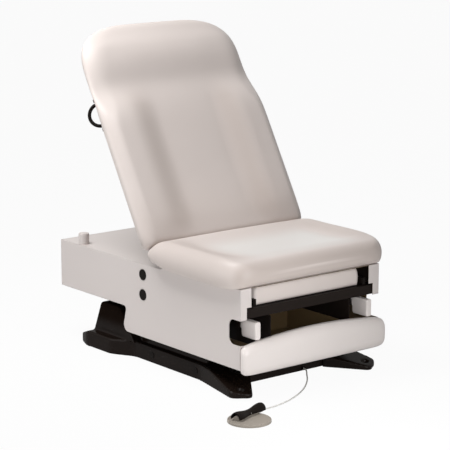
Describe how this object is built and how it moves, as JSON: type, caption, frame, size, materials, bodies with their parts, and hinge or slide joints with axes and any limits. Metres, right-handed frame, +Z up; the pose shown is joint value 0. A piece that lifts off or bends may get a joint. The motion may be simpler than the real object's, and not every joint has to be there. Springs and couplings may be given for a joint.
{
  "type": "electric examination table",
  "caption": "Examination table with a tilting padded back, a dished seat, a pull-out leg rest and drawer, swing-out stirrups and a foot-operated lift on parallelogram arms",
  "frame": {"origin": "on the floor, in the middle of the four fixing holes of the base", "axes": "+Z up, front of the table towards -Y, left as seen from the front is -X"},
  "size_m": [0.8922, 1.369, 1.2018],
  "materials": {
    "vinyl": "soft satin",
    "cabinet_paint": "fine satin powder coat",
    "front_plastic": "satin",
    "base_plastic": "gloss",
    "black_plastic": "satin",
    "black_steel": "satin black",
    "bright_steel": "plain",
    "pump_alloy": "cast",
    "board": "plywood",
    "drawer_plastic": "satin",
    "grey_plastic": "satin",
    "cord_rubber": "matt"
  },
  "bodies": {
    "base": {"base_cover_left": "base_plastic", "base_cover_right": "base_plastic", "base_tubes": "black_steel", "base_cross_members": "black_steel", "ram_anchor": "black_steel", "rail_plugs": "black_plastic", "tower_plates": "black_steel", "rear_arm_pins": "bright_steel", "control_box": "black_plastic", "pump_unit": "pump_alloy", "power_inlet": "black_plastic", "cord_grommet": "black_plastic", "foot_cord": "cord_rubber", "foot_plate": "grey_plastic", "switch_housing": "grey_plastic", "rocker_pin": "bright_steel"},
    "lower_arms": {"lower_lift_arm": "black_steel"},
    "upper_arms": {"upper_lift_arm": "black_steel"},
    "ram": {"lift_ram": "black_steel"},
    "ram_rod": {"lift_ram_rod": "bright_steel"},
    "upper_frame": {"side_panel_left": "cabinet_paint", "side_panel_right": "cabinet_paint", "deck": "cabinet_paint", "rear_panel": "cabinet_paint", "panel_plugs": "black_plastic", "back_posts": "cabinet_paint", "frame_side_tubes": "black_steel", "front_bar": "black_steel", "frame_cross_tubes": "black_steel", "frame_end_tubes": "black_steel", "arm_hangers": "black_steel", "front_arm_pins": "bright_steel", "seat_board": "board", "seat_cushion": "vinyl", "hinge_brackets": "black_steel", "hinge_pins": "bright_steel", "spring_anchor": "black_steel", "leg_rest_guides": "black_plastic", "drawer_carriers": "black_steel", "stirrup_sleeves": "black_steel"},
    "backrest": {"back_board": "board", "back_cushion": "vinyl", "back_frame": "black_steel", "handle_lugs": "black_plastic"},
    "spring": {"gas_spring": "black_steel"},
    "spring_rod": {"gas_spring_rod": "bright_steel"},
    "handle_left": {"release_handle_left": "black_plastic"},
    "handle_right": {"release_handle_right": "black_plastic"},
    "leg_rest": {"leg_rest_board": "board", "leg_rest_cushion": "vinyl"},
    "drawer": {"drawer_front": "front_plastic", "drawer_box": "drawer_plastic", "drawer_runners": "bright_steel"},
    "bar_left": {"stirrup_bar_left": "bright_steel"},
    "bar_right": {"stirrup_bar_right": "bright_steel"},
    "foot_left": {"stirrup_foot_left": "front_plastic"},
    "foot_right": {"stirrup_foot_right": "front_plastic"},
    "rocker": {"foot_rocker": "black_plastic"}
  },
  "joints": [
    {"name": "lift", "type": "hinge", "parent": "base", "child": "lower_arms", "pos_m": [0, 0.35, 0.105], "axis": [-1, 0, 0], "range_deg": [0, 45.4]},
    {"name": "level", "type": "hinge", "parent": "lower_arms", "child": "upper_frame", "pos_m": [0, -0.26201, 0.035], "axis": [-1, 0, 0], "range_deg": [-45.6, 0.2]},
    {"name": "upper_arm_swing", "type": "hinge", "parent": "base", "child": "upper_arms", "pos_m": [0, 0.35, 0.16], "axis": [-1, 0, 0], "range_deg": [-0.2, 45.6]},
    {"name": "ram_swing", "type": "hinge", "parent": "base", "child": "ram", "pos_m": [0, 0.326, 0.032], "axis": [-1, 0, 0], "range_deg": [-0.2, 39.55]},
    {"name": "ram_stroke", "type": "slide", "parent": "ram", "child": "ram_rod", "axis": [0, -0.914, 0.4058], "range_m": [-0.0005, 0.05585]},
    {"name": "back_tilt", "type": "hinge", "parent": "upper_frame", "child": "backrest", "pos_m": [0, 0.023, 0.411], "axis": [1, 0, 0], "range_deg": [-59.6, 8]},
    {"name": "spring_swing", "type": "hinge", "parent": "upper_frame", "child": "spring", "pos_m": [0, 0.063, 0.336], "axis": [1, 0, 0], "range_deg": [-54.14, 7.44]},
    {"name": "spring_stroke", "type": "slide", "parent": "spring", "child": "spring_rod", "axis": [0, 0.3716, 0.9284], "range_m": [-0.08158, 0.01138]},
    {"name": "release_right", "type": "hinge", "parent": "backrest", "child": "handle_right", "pos_m": [0.338, 0.312, 0.89767], "axis": [0, 0.506, 0.8625], "range_deg": [0, 12], "stiffness_Nm_per_rad": 3},
    {"name": "release_left", "type": "hinge", "parent": "backrest", "child": "handle_left", "pos_m": [-0.338, 0.312, 0.89767], "axis": [0, -0.506, -0.8625], "range_deg": [0, 12], "stiffness_Nm_per_rad": 3},
    {"name": "leg_rest_slide", "type": "slide", "parent": "upper_frame", "child": "leg_rest", "axis": [0, -1, 0], "range_m": [0, 0.28]},
    {"name": "drawer_slide", "type": "slide", "parent": "upper_frame", "child": "drawer", "axis": [0, -1, 0], "range_m": [0, 0.25]},
    {"name": "stirrup_slide_left", "type": "slide", "parent": "upper_frame", "child": "bar_left", "axis": [0, -1, 0], "range_m": [0, 0.25]},
    {"name": "foot_swing_left", "type": "hinge", "parent": "bar_left", "child": "foot_left", "pos_m": [-0.2537, -0.487, 0.2575], "axis": [0, 0, 1], "range_deg": [0, 90]},
    {"name": "stirrup_slide_right", "type": "slide", "parent": "upper_frame", "child": "bar_right", "axis": [0, -1, 0], "range_m": [0, 0.25]},
    {"name": "foot_swing_right", "type": "hinge", "parent": "bar_right", "child": "foot_right", "pos_m": [0.2537, -0.487, 0.2575], "axis": [0, 0, -1], "range_deg": [0, 90]},
    {"name": "pedal_rock", "type": "hinge", "parent": "base", "child": "rocker", "pos_m": [-0.426, -0.653, 0.0195], "axis": [-0.2588, 0.9659, 0], "range_deg": [-4, 4], "stiffness_Nm_per_rad": 2}
  ],
  "couplings": [
    {"joint": "level", "follows": "lift", "ratio": -1},
    {"joint": "upper_arm_swing", "follows": "lift", "ratio": 1},
    {"joint": "ram_swing", "follows": "lift", "ratio": 0.86673},
    {"joint": "ram_stroke", "follows": "lift", "m_per_rad": 0.069848},
    {"joint": "spring_swing", "follows": "back_tilt", "ratio": 0.90499},
    {"joint": "spring_stroke", "follows": "back_tilt", "m_per_rad": 0.077944}
  ]
}
